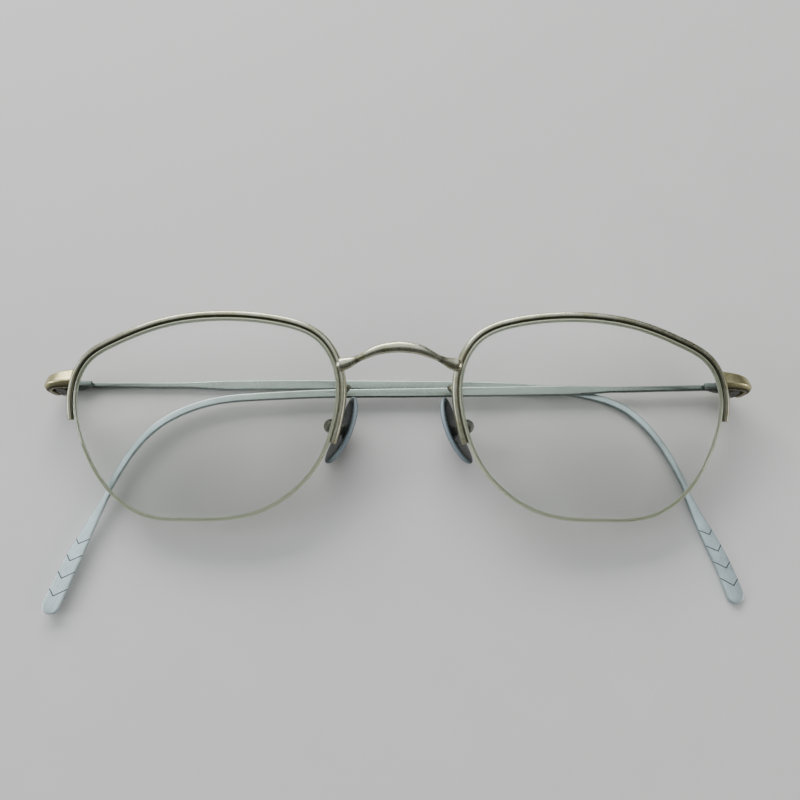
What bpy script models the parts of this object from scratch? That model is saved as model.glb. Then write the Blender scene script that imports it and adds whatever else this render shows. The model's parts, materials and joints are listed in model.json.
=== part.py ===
"""Half-rim wire eyeglasses, folded and lying on their back.

An upper rim channel and a nylon cord hold each lens. A soldered bridge joins the rims, and curved
end pieces carry barrel hinges for the temples. Screw-on nose pads rock on wire arms. Lengths are in
millimetres, and MM turns them into metres where a mesh or an empty is made. Shapes are written for
the wearer's side at +X and mirrored to the other one.
"""

import math

import bmesh
import bpy
import numpy as np
from mathutils import Matrix, Vector

MM = 0.001
GAP = 0.15  # clearance between seated pieces
SIDES = {"left": -1, "right": 1}

# Lens outline from the lens centre, (towards the temple, up), anticlockwise from the widest point.
LENS_OUTLINE = [
    (23.2, 3.9), (20.8, 9.7), (15.8, 12.8), (7.7, 15.8), (-4.5, 17.2), (-13.0, 16.4),
    (-20.1, 13.6), (-23.3, 7.8), (-23.0, -0.5), (-20.5, -7.5), (-15.6, -13.3), (-8.6, -17.1),
    (2.0, -18.2), (10.8, -17.4), (17.7, -12.3), (21.7, -5.1),
]
LENS_CENTRE_X = 34.1
LENS_CURVE_RADIUS = 120.0
LENS_EDGE = 2.2
LENS_MIDDLE = 1.8
WRAP = math.radians(3.0)  # each lens turns back towards its temple
LENS_CHAMFER = 0.15
GROOVE_HALF = 0.45
GROOVE_DEPTH = 0.6

RIM_DEPTH = 1.1
RIM_HALF = 1.1
RIM_BEVEL = 0.3
CHANNEL_DEPTH = 0.5  # of the rim's own groove, which the liner lies in
RIM_END_TEMPLE = -0.5  # height of the rim's end beside the temple
RIM_END_NOSE = -4.3
CORD_RADIUS = 0.3
CORD_OFFSET = -0.15
CORD_HOLD = 2.5  # length of cord held inside each rim end
LINER_CLEAR = 0.6  # from the cord's end to the liner

TILT = math.radians(15.0)  # pantoscopic angle, between the lens plane and the temples' plane
AXIS_X = 61.2
AXIS_Y = 8.0
AXIS_BACK = 8.2  # hinge axis behind the front's centre
BARREL_RADIUS = 1.0
BORE_RADIUS = 0.6
SCREW_RADIUS = 0.5
STRAP_INNER = BARREL_RADIUS + GAP  # from hinge axis to the strap's inner face
STRAP_THICK = 1.5
STRAP_X = AXIS_X + STRAP_INNER + STRAP_THICK / 2
# Middle of the end piece's strap, from the rim back to the hinge.
END_PIECE_PATH = [
    (58.5, 7.35, -1.65), (60.5, 7.2, -1.9), (62.0, 7.0, -2.5), (62.95, 6.95, -3.8),
    (STRAP_X, 7.15, -5.7), (STRAP_X, 7.5, -8.3),
]
# (distance along the strap, height)
END_PIECE_HEIGHTS = [(0.0, 3.2), (1.6, 3.0), (3.6, 2.6), (6.0, 2.7), (9.0, 3.1)]
KNUCKLES = {"bottom": (-2.0, -0.6), "middle": (-0.5, 0.4), "top": (0.5, 1.1)}
LEAF_THICK = 0.65
LEAF_FRONT = (1.3, 3.2)
LEAF_TEMPLE = (1.35, 4.4)
HEEL_HALF = 1.0  # the heel fills the end piece's bend, below the temple
HEEL_CLEAR = 0.4
HEEL_SPAN = (0.8, 4.2)
LEAF_HALF = 0.5
WEB_FRONT = (0.3, 1.6)
WEB_TEMPLE = (1.6, 0.7)
WEB_SINK = 0.02
SCREW_PLAY = 0.1
SCREW_CHAMFER = 0.1
SCREW_HEAD_RADIUS = 0.85
SCREW_HEAD_WALL = 0.25
SCREW_HEAD_TALL = 0.45
SCREW_HEAD_SLOPE = 0.25

TEMPLE_OUTER = STRAP_INNER + 1.2  # from hinge axis to the temple's outer face
# Temple centre lines, (inwards from the hinge, up), folded. Each was bent by hand, as worn.
TEMPLE_PATHS = {
    "left": [
        (0.5, 0.45), (31.0, 0.65), (61.0, 0.85), (78.0, 0.75), (90.0, 0.1), (97.0, -1.1),
        (103.0, -3.3), (107.5, -7.2), (110.8, -12.1), (113.3, -17.6), (115.4, -23.0),
        (117.7, -28.3), (119.8, -33.5), (121.45, -39.05),
    ],
    "right": [
        (0.5, 0.35), (30.0, -0.35), (60.0, -1.0), (76.0, -1.35), (88.0, -2.0), (95.0, -2.8),
        (100.0, -4.4), (104.5, -6.9), (108.2, -10.5), (111.2, -15.3), (114.0, -21.4),
        (117.0, -28.2), (119.4, -34.2), (121.9, -41.0),
    ],
}
# (distance along the temple, height, thickness)
TEMPLE_SECTIONS = [
    (0.0, 2.0, 1.1), (1.5, 2.0, 1.1), (2.6, 1.0, 1.1), (21.0, 1.05, 1.1), (29.0, 1.85, 0.95),
    (45.0, 1.8, 0.95), (85.0, 1.45, 0.95), (100.0, 1.3, 1.0), (116.0, 1.15, 1.0),
    (122.0, 1.0, 0.9), (127.0, 1.7, 0.85), (133.0, 2.7, 0.85), (140.0, 3.0, 0.85),
    (150.0, 3.0, 0.85),
]
TEMPLE_TIP = 1.5
TEMPLE_BEVEL = 0.28
STACK = 1.2  # the right temple lies this much above the left one, over which it is folded

BRIDGE_PATH = [
    (0.0, 12.1, 2.0), (3.9, 11.5, 1.8), (6.4, 10.4, 1.3), (7.9, 9.75, 0.8), (9.4, 9.25, 0.45),
    (10.9, 8.95, 0.4),
]
# (distance from the crest, height, thickness)
BRIDGE_SECTIONS = [
    (0.0, 2.0, 1.5), (3.9, 1.75, 1.4), (7.2, 1.15, 1.15), (8.2, 1.3, 1.2), (9.3, 2.0, 1.4),
    (10.4, 2.25, 1.4), (13.0, 2.25, 1.4),
]
BRIDGE_TIP = 1.1  # length of the rounded end of each foot

PAD_PIVOT = Vector((12.0, -1.9, -5.9))
PAD_SPLAY = math.radians(25.0)
PAD_LEAN = math.radians(23.0)  # the pads spread apart downwards
PAD_LENGTH = 13.0
PAD_WIDTH = 6.2
PAD_THICK = 1.3
PAD_STAND = 1.85  # from the pad screw's axis to the pad's back
PAD_BOW = 0.018  # the pad bends this much per mm squared, round the nose
BOX_RADIUS = 1.3
BOX_HALF = 1.1
TAB_HALF = 0.4
TAB_REACH = 0.8
PAD_ARM_RADIUS = 0.45
# Middle of the arm's wire, from the rim's back, round a loop towards the nose, to the box's top.
PAD_ARM_PATH = [
    (9.9, 4.2, -2.85), (9.2, 5.2, -3.7), (9.1, 5.2, -5.0), (10.1, 4.1, -6.1), (10.8, 2.6, -6.4),
    (11.1, 1.1, -6.2),
]
PAD_SCREW_RADIUS = 0.35
PAD_SCREW_HEAD_TALL = 0.4
PAD_SCREW_HEAD_SLOPE = 0.2
PAD_BORE_RADIUS = PAD_SCREW_RADIUS + 0.1
CORE_LIFT = 0.15  # from the pad's back to its core plate
CORE_THICK = 0.4
BORE_REACH = 3.0  # half of a bore cutter's length

MATERIALS = {
    "rim_metal": ((0.42, 0.40, 0.30), 1.0, 0.38),
    "temple_metal": ((0.50, 0.52, 0.48), 1.0, 0.35),
    "screw_steel": ((0.45, 0.44, 0.40), 1.0, 0.30),
    "lens_clear": ((0.92, 0.96, 0.90), 0.0, 0.05),
    "nylon": ((0.85, 0.82, 0.66), 0.0, 0.40),
    "pad_silicone": ((0.20, 0.22, 0.22), 0.0, 0.30),
}


def clear_scene():
    for obj in list(bpy.data.objects):
        bpy.data.objects.remove(obj, do_unlink=True)


def material(name):
    found = bpy.data.materials.get(name)
    if found:
        return found
    colour, metallic, roughness = MATERIALS[name]
    made = bpy.data.materials.new(name)
    made.use_nodes = True
    shader = made.node_tree.nodes["Principled BSDF"]
    shader.inputs["Base Color"].default_value = (*colour, 1.0)
    shader.inputs["Metallic"].default_value = metallic
    shader.inputs["Roughness"].default_value = roughness
    return made


def empty(name, parent=None, location=(0, 0, 0), rotation=None):
    """An empty in millimetres, which pieces are parented to."""
    made = bpy.data.objects.new(name, None)
    bpy.context.scene.collection.objects.link(made)
    made.parent = parent
    turn = rotation.to_4x4() if rotation else Matrix.Identity(4)
    made.matrix_basis = Matrix.Translation(Vector(location) * MM) @ turn
    return made


def piece(name, bm, parent, look, side=1, sharp=40.0):
    """Writes a bmesh, mirrored to its side, as an object under its parent."""
    bmesh.ops.scale(bm, vec=(MM * side, MM, MM), verts=bm.verts)
    bmesh.ops.recalc_face_normals(bm, faces=bm.faces)
    mesh = bpy.data.meshes.new(name)
    bm.to_mesh(mesh)
    bm.free()
    mesh.materials.append(material(look))
    mesh.shade_smooth()
    mesh.set_sharp_from_angle(angle=math.radians(sharp))
    obj = bpy.data.objects.new(name, mesh)
    bpy.context.scene.collection.objects.link(obj)
    obj.parent = parent
    return obj


def combine(obj, helper, operation):
    """Joins a helper to a piece or cuts it from the piece, and hides the helper."""
    modifier = obj.modifiers.new(helper.name, "BOOLEAN")
    modifier.operation = operation
    modifier.solver = "EXACT"
    modifier.object = helper
    helper.hide_render = True
    helper.display_type = "WIRE"


def spline(points, closed=False):
    """Points along a natural cubic spline, with the length along it."""
    knots = np.array(points, float)
    if closed:
        knots = np.vstack([knots, knots[:1]])
    steps = np.linalg.norm(np.diff(knots, axis=0), axis=1)
    at = np.concatenate([[0.0], np.cumsum(steps)])
    size = len(knots)
    system = np.eye(size)
    right = np.zeros_like(knots)
    slopes = np.diff(knots, axis=0) / steps[:, None]
    for i in range(1, size - 1):
        system[i, i - 1 : i + 2] = steps[i - 1], 2 * (steps[i - 1] + steps[i]), steps[i]
        right[i] = 6 * (slopes[i] - slopes[i - 1])
    if closed:
        system[0, [0, 1, -2]] = 2 * (steps[-1] + steps[0]), steps[0], steps[-1]
        right[0] = 6 * (slopes[0] - slopes[-1])
        system[-1, 0] = -1.0
    bends = np.linalg.solve(system, right)
    where = np.linspace(0, at[-1], 1200)
    i = np.clip(np.searchsorted(at, where, side="right") - 1, 0, size - 2)
    step = steps[i][:, None]
    low = (at[i + 1] - where)[:, None]
    high = (where - at[i])[:, None]
    curve = (bends[i] * low**3 + bends[i + 1] * high**3) / (6 * step)
    curve += (knots[i] / step - bends[i] * step / 6) * low
    curve += (knots[i + 1] / step - bends[i + 1] * step / 6) * high
    along = np.concatenate([[0.0], np.cumsum(np.linalg.norm(np.diff(curve, axis=0), axis=1))])
    return curve, along


def at_lengths(curve, along, wanted):
    return np.stack([np.interp(wanted, along, column) for column in curve.T], axis=1)


def loft(bm, rings, poles=None):
    """Skins a list of equal rings. The ends are capped, or meet at pole points."""
    rows = [[bm.verts.new(point) for point in ring] for ring in rings]
    for low, high in zip(rows, rows[1:]):
        for i in range(len(low)):
            j = (i + 1) % len(low)
            bm.faces.new((low[i], low[j], high[j], high[i]))
    for row, pole in zip((rows[0], rows[-1]), poles or (None, None)):
        if pole is None:
            bm.faces.new(row)
            continue
        tip = bm.verts.new(pole)
        for i in range(len(row)):
            bm.faces.new((row[i], row[(i + 1) % len(row)], tip))


def box(bm, low, high):
    centre = (Vector(low) + Vector(high)) / 2
    size = Vector(high) - Vector(low)
    matrix = Matrix.Translation(centre) @ Matrix.Diagonal((*size, 1.0))
    bmesh.ops.create_cube(bm, size=1.0, matrix=matrix)


def rod(bm, radius, low, high, segments=20, frame=None):
    """A cylinder along Z of the frame, from low to high."""
    matrix = Matrix.Translation((0, 0, (low + high) / 2))
    if frame is not None:
        matrix = frame @ matrix
    bmesh.ops.create_cone(
        bm, cap_ends=True, segments=segments, radius1=radius, radius2=radius,
        depth=high - low, matrix=matrix,
    )


def turned(bm, profile, frame, segments=20):
    """Spins an open profile of (radius, height), which starts and ends on the frame's Z axis."""
    verts = [bm.verts.new((radius, 0, height)) for radius, height in profile]
    edges = [bm.edges.new(pair) for pair in zip(verts, verts[1:])]
    bmesh.ops.spin(
        bm, geom=verts + edges, cent=(0, 0, 0), axis=(0, 0, 1), angle=math.tau,
        steps=segments, use_duplicate=False,
    )
    bmesh.ops.remove_doubles(bm, verts=bm.verts, dist=0.001)
    bmesh.ops.transform(bm, matrix=frame, verts=bm.verts)


# ---------------------------------------------------------------- the lens and what holds it


def lens_curve():
    """The lens outline as a smooth loop, its lengths and its outward directions."""
    curve, along = spline(LENS_OUTLINE, closed=True)
    heading = np.gradient(np.vstack([curve[-2:-1], curve, curve[1:2]]), axis=0)[1:-1]
    heading /= np.linalg.norm(heading, axis=1)[:, None]
    outward = np.stack([heading[:, 1], -heading[:, 0]], axis=1)
    return curve, along, outward


def surface(u, v):
    """Depth of the lens's middle surface at a point of its outline plane."""
    return -(u**2 + v**2) / (2 * LENS_CURVE_RADIUS) - u * math.tan(WRAP)


def on_edge(point, outward, offset, depth):
    """A point beside the lens edge: offset outwards, and depth in front of the middle surface."""
    u, v = point
    return (
        LENS_CENTRE_X + u + outward[0] * offset,
        v + outward[1] * offset,
        surface(u, v) + depth,
    )


def edge_span(start, stop, count):
    """Evenly spaced outline points with outward directions, between two lengths."""
    curve, along, outward = lens_curve()
    wanted = np.linspace(start, stop, count) % along[-1]
    return list(zip(at_lengths(curve, along, wanted), at_lengths(outward, along, wanted)))


def rim_ends():
    """Lengths along the outline of the rim's ends: beside the temple, and beside the nose."""
    curve, along, _ = lens_curve()
    outer = curve[:, 0] > 0
    inner = ~outer
    near_temple = along[outer][np.argmin(abs(curve[outer, 1] - RIM_END_TEMPLE))]
    near_nose = along[inner][np.argmin(abs(curve[inner, 1] - RIM_END_NOSE))]
    return near_temple - along[-1], near_nose


def lens(name, parent, side):
    count = 56
    curve, along, _ = lens_curve()
    points = edge_span(0, along[-1] * (1 - 1 / count), count)

    def ring(scale, face):
        middle = [(u * scale, v * scale) for (u, v), _ in points]
        half = (LENS_MIDDLE + (LENS_EDGE - LENS_MIDDLE) * scale**2) / 2
        return [(LENS_CENTRE_X + u, v, surface(u, v) + face * half) for u, v in middle]

    def lip(offset, depth):
        return [on_edge(point, outward, offset, depth) for point, outward in points]

    half = LENS_EDGE / 2
    shoulder = half - LENS_CHAMFER
    rings = [ring(scale, 1) for scale in (0.3, 0.6, 0.85)]
    rings += [lip(-LENS_CHAMFER, half), lip(0, shoulder), lip(0, GROOVE_HALF)]
    rings += [lip(-GROOVE_DEPTH, GROOVE_HALF), lip(-GROOVE_DEPTH, -GROOVE_HALF)]
    rings += [lip(0, -GROOVE_HALF), lip(0, -shoulder), lip(-LENS_CHAMFER, -half)]
    rings += [ring(scale, -1) for scale in (0.85, 0.6, 0.3)]
    bm = bmesh.new()
    poles = [(LENS_CENTRE_X, 0, LENS_MIDDLE / 2), (LENS_CENTRE_X, 0, -LENS_MIDDLE / 2)]
    loft(bm, rings, poles=poles)
    return piece(name, bm, parent, "lens_clear", side)


def edge_sweep(name, parent, side, look, start, stop, count, section):
    """Sweeps a section of (offset, depth) along the lens edge."""
    bm = bmesh.new()
    rings = [
        [on_edge(point, outward, offset, depth) for offset, depth in section]
        for point, outward in edge_span(start, stop, count)
    ]
    loft(bm, rings)
    return piece(name, bm, parent, look, side)


def rim(name, parent, side):
    start, stop = rim_ends()
    inner = GAP
    outer = GAP + RIM_DEPTH
    floor = GAP + CHANNEL_DEPTH
    section = [
        (inner, RIM_HALF), (outer - RIM_BEVEL, RIM_HALF), (outer, RIM_HALF - RIM_BEVEL),
        (outer, RIM_BEVEL - RIM_HALF), (outer - RIM_BEVEL, -RIM_HALF), (inner, -RIM_HALF),
        (inner, -GROOVE_HALF), (floor, -GROOVE_HALF), (floor, GROOVE_HALF), (inner, GROOVE_HALF),
    ]
    return edge_sweep(name, parent, side, "rim_metal", start, stop, 40, section)


def rim_liner(name, parent, side):
    start, stop = rim_ends()
    hold = CORD_HOLD + LINER_CLEAR
    half = GROOVE_HALF - GAP
    low = GAP - GROOVE_DEPTH
    high = CHANNEL_DEPTH
    section = [(low, half), (high, half), (high, -half), (low, -half)]
    return edge_sweep(name, parent, side, "nylon", start + hold, stop - hold, 40, section)


def nylon_cord(name, parent, side):
    """The cord runs in the groove round the lower lens, and into both rim ends."""
    start, stop = rim_ends()
    _, along, _ = lens_curve()
    span = edge_span(stop - CORD_HOLD, start + along[-1] + CORD_HOLD, 58)
    data = bpy.data.curves.new(name, "CURVE")
    data.dimensions = "3D"
    data.bevel_depth = CORD_RADIUS * MM
    data.bevel_resolution = 2
    data.use_fill_caps = True
    line = data.splines.new("POLY")
    line.points.add(len(span) - 1)
    for target, (point, outward) in zip(line.points, span):
        x, y, z = on_edge(point, outward, CORD_OFFSET, 0)
        target.co = (x * side * MM, y * MM, z * MM, 1.0)
    data.materials.append(material("nylon"))
    obj = bpy.data.objects.new(name, data)
    bpy.context.scene.collection.objects.link(obj)
    obj.parent = parent
    return obj


# ---------------------------------------------------------------- bridge and end pieces


def bridge(name, parent):
    """Half is lofted from the crest to a rounded foot on the rim, and the other half mirrors it."""
    curve, along = spline(BRIDGE_PATH)
    total = along[-1]
    foot = total - BRIDGE_TIP
    distances = [*np.linspace(0, foot, 12), *(foot + BRIDGE_TIP * np.array([0.5, 0.8, 0.96]))]
    stations, heights, depths = np.array(BRIDGE_SECTIONS).T
    half_rings = []
    for distance in distances:
        centre = Vector(at_lengths(curve, along, np.array([distance]))[0])
        ahead = at_lengths(curve, along, np.array([distance - 0.1, distance + 0.1]))
        heading = Vector(ahead[1] - ahead[0]).normalized()
        rise = Vector((0, 0, 1)).cross(heading).normalized()
        forward = heading.cross(rise)
        past = max(0.0, distance - foot) / BRIDGE_TIP
        round_end = math.sqrt(1 - past**2)
        rise *= np.interp(distance, stations, heights) / 2 * round_end
        forward *= np.interp(distance, stations, depths) / 2 * round_end
        turns = np.arange(12) * math.tau / 12
        half_rings.append([centre + rise * math.cos(t) + forward * math.sin(t) for t in turns])
    mirrored = [[Vector((-p.x, p.y, p.z)) for p in ring] for ring in half_rings]
    bm = bmesh.new()
    loft(bm, mirrored[:0:-1] + half_rings)
    return piece(name, bm, parent, "rim_metal")


def end_piece(name, parent, side):
    """A strap from the rim's outer edge, curved back to the hinge, with a ridge along its foot."""
    curve, along = spline(END_PIECE_PATH)
    stations, heights = np.array(END_PIECE_HEIGHTS).T
    face = STRAP_THICK / 2
    rings = []
    for distance in np.linspace(0, along[-1], 16):
        centre = at_lengths(curve, along, np.array([distance]))[0]
        ahead = at_lengths(curve, along, np.array([distance - 0.2, distance + 0.2]))
        heading = Vector(ahead[1] - ahead[0])
        heading = Vector((heading.x, 0, heading.z)).normalized()
        out = Vector((-heading.z, 0, heading.x))
        half = np.interp(distance, stations, heights) / 2
        section = [
            (-half, -face), (half, -face), (half, 0), (half - 0.4, face * 0.6),
            (half - 1.1, face * 0.9), (0.4 - half, face), (-half, face * 0.2),
        ]
        rings.append([Vector(centre) + Vector((0, h, 0)) + out * t for h, t in section])
    bm = bmesh.new()
    loft(bm, rings)
    return piece(name, bm, parent, "rim_metal", side, sharp=25.0)


# ---------------------------------------------------------------- hinges


def upright():
    """Turns a rod's length from Z to the hinge axis, Y."""
    return Matrix.Rotation(-math.pi / 2, 4, "X")


def hinge_half(name, parent, side, leaf, web, knuckles, look):
    """Barrels joined to a soldered leaf, with the screw's bore through them. Origin on the axis."""
    bm = bmesh.new()
    box(bm, *leaf)
    obj = piece(name, bm, parent, look, side)
    for label in knuckles:
        low, high = KNUCKLES[label]
        bm = bmesh.new()
        rod(bm, BARREL_RADIUS, low, high, frame=upright())
        combine(obj, piece(f"{name}_{label}_barrel", bm, parent, look, side), "UNION")
        bm = bmesh.new()
        (x0, z0), (x1, z1) = web
        box(bm, (x0, low, z0), (x1, high, z1))
        combine(obj, piece(f"{name}_{label}_web", bm, parent, look, side), "UNION")
    bm = bmesh.new()
    rod(bm, BORE_RADIUS, -BORE_REACH, BORE_REACH, frame=upright())
    combine(obj, piece(f"{name}_bore", bm, parent, look, side), "DIFFERENCE")
    return obj


def hinge_front(name, parent, side):
    low = KNUCKLES["bottom"][0]
    high = KNUCKLES["top"][1]
    near, far = LEAF_FRONT
    leaf = ((BARREL_RADIUS - LEAF_THICK, low, near), (BARREL_RADIUS, high, far))
    web = ((WEB_FRONT[0], 0.0), (BARREL_RADIUS - WEB_SINK, WEB_FRONT[1]))
    obj = hinge_half(name, parent, side, leaf, web, ("bottom", "top"), "rim_metal")
    heel_top = KNUCKLES["bottom"][1] - WEB_SINK
    bm = bmesh.new()
    near, far = HEEL_SPAN
    box(bm, (-HEEL_HALF, low + WEB_SINK, near), (HEEL_HALF - HEEL_CLEAR, heel_top, far))
    combine(obj, piece(f"{name}_heel", bm, parent, "rim_metal", side), "UNION")
    return obj


def hinge_temple(name, parent, side, middle):
    """The leaf lies along the temple, whose own middle height is given."""
    foot = -BARREL_RADIUS
    near, far = LEAF_TEMPLE
    leaf = ((-far, middle - LEAF_HALF, foot), (-near, middle + LEAF_HALF, foot + LEAF_THICK))
    web = ((-WEB_TEMPLE[0], foot + WEB_SINK), (0.0, foot + WEB_TEMPLE[1]))
    return hinge_half(name, parent, side, leaf, web, ("middle",), "temple_metal")


def hinge_screw(name, parent, side):
    seat = KNUCKLES["top"][1] + SCREW_PLAY
    tip = KNUCKLES["bottom"][0] - SCREW_PLAY
    head = SCREW_HEAD_RADIUS
    top = seat + SCREW_HEAD_TALL
    profile = [
        (0, tip), (SCREW_RADIUS - SCREW_CHAMFER, tip), (SCREW_RADIUS, tip + SCREW_CHAMFER),
        (SCREW_RADIUS, seat), (head, seat), (head, seat + SCREW_HEAD_WALL),
        (head - SCREW_HEAD_SLOPE, top), (0, top),
    ]
    bm = bmesh.new()
    turned(bm, profile, upright())
    return piece(name, bm, parent, "screw_steel", side)


# ---------------------------------------------------------------- temples


def temple(name, parent, side, path):
    """A slim wire that bends down behind the ear and ends in a flat paddle. Outer face down."""
    curve, along = spline(path)
    total = along[-1]
    tip = total - TEMPLE_TIP
    straight = [0, 1.5, 2.6, *np.linspace(10, 85, 14)]
    rounding = tip + TEMPLE_TIP * np.array([0.4, 0.7, 0.88, 0.97])
    stations, heights, depths = np.array(TEMPLE_SECTIONS).T
    rings = []
    for distance in [*straight, *np.linspace(89, tip, 30), *rounding]:
        x, y = at_lengths(curve, along, np.array([distance]))[0]
        ahead = at_lengths(curve, along, np.clip([distance - 0.3, distance + 0.3], 0, total))
        heading = (ahead[1] - ahead[0]) / np.linalg.norm(ahead[1] - ahead[0])
        past = max(0.0, distance - tip) / TEMPLE_TIP
        half = np.interp(distance, stations, heights) / 2 * math.sqrt(1 - past**2)
        thick = np.interp(distance, stations, depths)
        bevel = min(TEMPLE_BEVEL, half * 0.45)
        section = [
            (bevel - half, 0), (half - bevel, 0), (half, bevel), (half, thick - bevel),
            (half - bevel, thick), (bevel - half, thick), (-half, thick - bevel), (-half, bevel),
        ]
        rings.append([
            (heading[1] * h - x, heading[0] * h + y, t - TEMPLE_OUTER) for h, t in section
        ])
    bm = bmesh.new()
    loft(bm, rings)
    return piece(name, bm, parent, "temple_metal", side, sharp=30.0)


# ---------------------------------------------------------------- nose pads


def pad_axes():
    """Directions of a pad: down its length, across it towards the face, and out at the nose."""
    length = Vector((math.sin(PAD_LEAN), -math.cos(PAD_LEAN), 0))
    across = Vector((math.sin(PAD_SPLAY), 0, -math.cos(PAD_SPLAY)))
    across = (across - length * across.dot(length)).normalized()
    return length, across, across.cross(length)


def pad_frame(side):
    """The pad's own axes as a rotation, for the empty on its rocking axis."""
    columns = []
    for axis in pad_axes():
        columns.append(Vector((axis.x * side, axis.y, axis.z)))
    if side < 0:
        columns[0] = -columns[0]
    return Matrix(columns).transposed()


def pad_arm(name, parent, side):
    """A bent wire from behind the rim, round a small loop, down to the top of the pad's box."""
    length, _, _ = pad_axes()
    hold = PAD_PIVOT - length * (BOX_RADIUS + GAP)
    curve, along = spline([*PAD_ARM_PATH, tuple(hold)])
    rings = []
    for distance in np.linspace(0, along[-1], 26):
        centre = Vector(at_lengths(curve, along, np.array([distance]))[0])
        ahead = at_lengths(curve, along, np.clip([distance - 0.2, distance + 0.2], 0, along[-1]))
        heading = Vector(ahead[1] - ahead[0]).normalized()
        first = heading.cross(Vector((1, 0, 0))).normalized() * PAD_ARM_RADIUS
        second = heading.cross(first)
        turns = np.arange(10) * math.tau / 10
        rings.append([centre + first * math.cos(t) + second * math.sin(t) for t in turns])
    bm = bmesh.new()
    loft(bm, rings)
    return piece(name, bm, parent, "rim_metal", side)


def pad_bore(name, parent, side, look):
    bm = bmesh.new()
    rod(bm, PAD_BORE_RADIUS, -BORE_REACH, BORE_REACH, frame=upright())
    return piece(f"{name}_bore", bm, parent, look, side)


def pad_box(name, parent, side):
    """Two round cheeks open towards the nose, which hold the pad's tab and screw."""
    bm = bmesh.new()
    rod(bm, BOX_RADIUS, -BOX_HALF, BOX_HALF, frame=upright())
    obj = piece(name, bm, parent, "rim_metal", side)
    bm = bmesh.new()
    slot = TAB_HALF + GAP
    box(bm, (-2.0, -slot, -TAB_REACH - GAP), (2.0, slot, 2.0))
    combine(obj, piece(f"{name}_slot", bm, parent, "rim_metal", side), "DIFFERENCE")
    combine(obj, pad_bore(name, parent, side, "rim_metal"), "DIFFERENCE")
    return obj


def pad_screw(name, parent, side):
    seat = -BOX_HALF - SCREW_PLAY
    radius = PAD_SCREW_RADIUS
    head = SCREW_HEAD_RADIUS
    top = seat - PAD_SCREW_HEAD_TALL
    slope = PAD_SCREW_HEAD_SLOPE
    profile = [
        (0, top), (head - slope, top), (head, top + slope), (head, seat), (radius, seat),
        (radius, BOX_HALF), (0, BOX_HALF),
    ]
    bm = bmesh.new()
    turned(bm, profile, upright())
    return piece(name, bm, parent, "screw_steel", side)


def oval(half_length, half_width, height, count=24):
    """An oval ring across the pad, bent round the nose."""
    ring = []
    for k in range(count):
        turn = math.tau * k / count
        x = half_length * math.cos(turn)
        y = half_width * math.sin(turn)
        ring.append((x, y, height - PAD_BOW * x * x))
    return ring


def core_plate(bm, grow):
    """The plate of the pad's core, or with grow, the pocket that it sits in."""
    low = PAD_STAND + CORE_LIFT - grow * 6
    high = PAD_STAND + CORE_LIFT + CORE_THICK + grow
    sizes = (3.2 + grow, 1.3 + grow)
    loft(bm, [oval(*sizes, low, 16), oval(*sizes, high, 16)])


def pad_core(name, parent, side):
    """A plate inside the pad, with a tab out to the screw."""
    bm = bmesh.new()
    core_plate(bm, 0)
    obj = piece(name, bm, parent, "screw_steel", side)
    top = PAD_STAND + CORE_LIFT + CORE_THICK / 2
    bm = bmesh.new()
    box(bm, (-TAB_REACH, -TAB_HALF, 0), (TAB_REACH, TAB_HALF, top))
    combine(obj, piece(f"{name}_tab", bm, parent, "screw_steel", side), "UNION")
    bm = bmesh.new()
    rod(bm, TAB_REACH, -TAB_HALF, TAB_HALF, frame=upright())
    combine(obj, piece(f"{name}_eye", bm, parent, "screw_steel", side), "UNION")
    combine(obj, pad_bore(name, parent, side, "screw_steel"), "DIFFERENCE")
    return obj


def nose_pad(name, parent, side):
    x = PAD_LENGTH / 2
    y = PAD_WIDTH / 2
    back = PAD_STAND
    front = PAD_STAND + PAD_THICK
    bm = bmesh.new()
    loft(bm, [
        oval(x * 0.92, y * 0.88, back), oval(x, y, back + 0.35), oval(x, y, front - 0.6),
        oval(x * 0.95, y * 0.88, front - 0.2), oval(x * 0.7, y * 0.6, front),
    ])
    obj = piece(name, bm, parent, "pad_silicone", side)
    bm = bmesh.new()
    core_plate(bm, GAP)
    combine(obj, piece(f"{name}_pocket", bm, parent, "pad_silicone", side), "DIFFERENCE")
    return obj


# ---------------------------------------------------------------- assembly


def stand_on_origin(root):
    """Moves the whole object so that the middle of its box's base is the origin."""
    bpy.context.view_layer.update()
    graph = bpy.context.evaluated_depsgraph_get()
    corners = []
    for obj in bpy.context.scene.objects:
        if obj.type == "EMPTY" or obj.hide_render:
            continue
        shown = obj.evaluated_get(graph)
        mesh = shown.to_mesh()
        corners += [shown.matrix_world @ vertex.co for vertex in mesh.vertices]
        shown.to_mesh_clear()
    low = np.min(corners, axis=0)
    high = np.max(corners, axis=0)
    root.location = (-(low[0] + high[0]) / 2, -(low[1] + high[1]) / 2, -low[2])
    bpy.context.view_layer.update()


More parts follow.
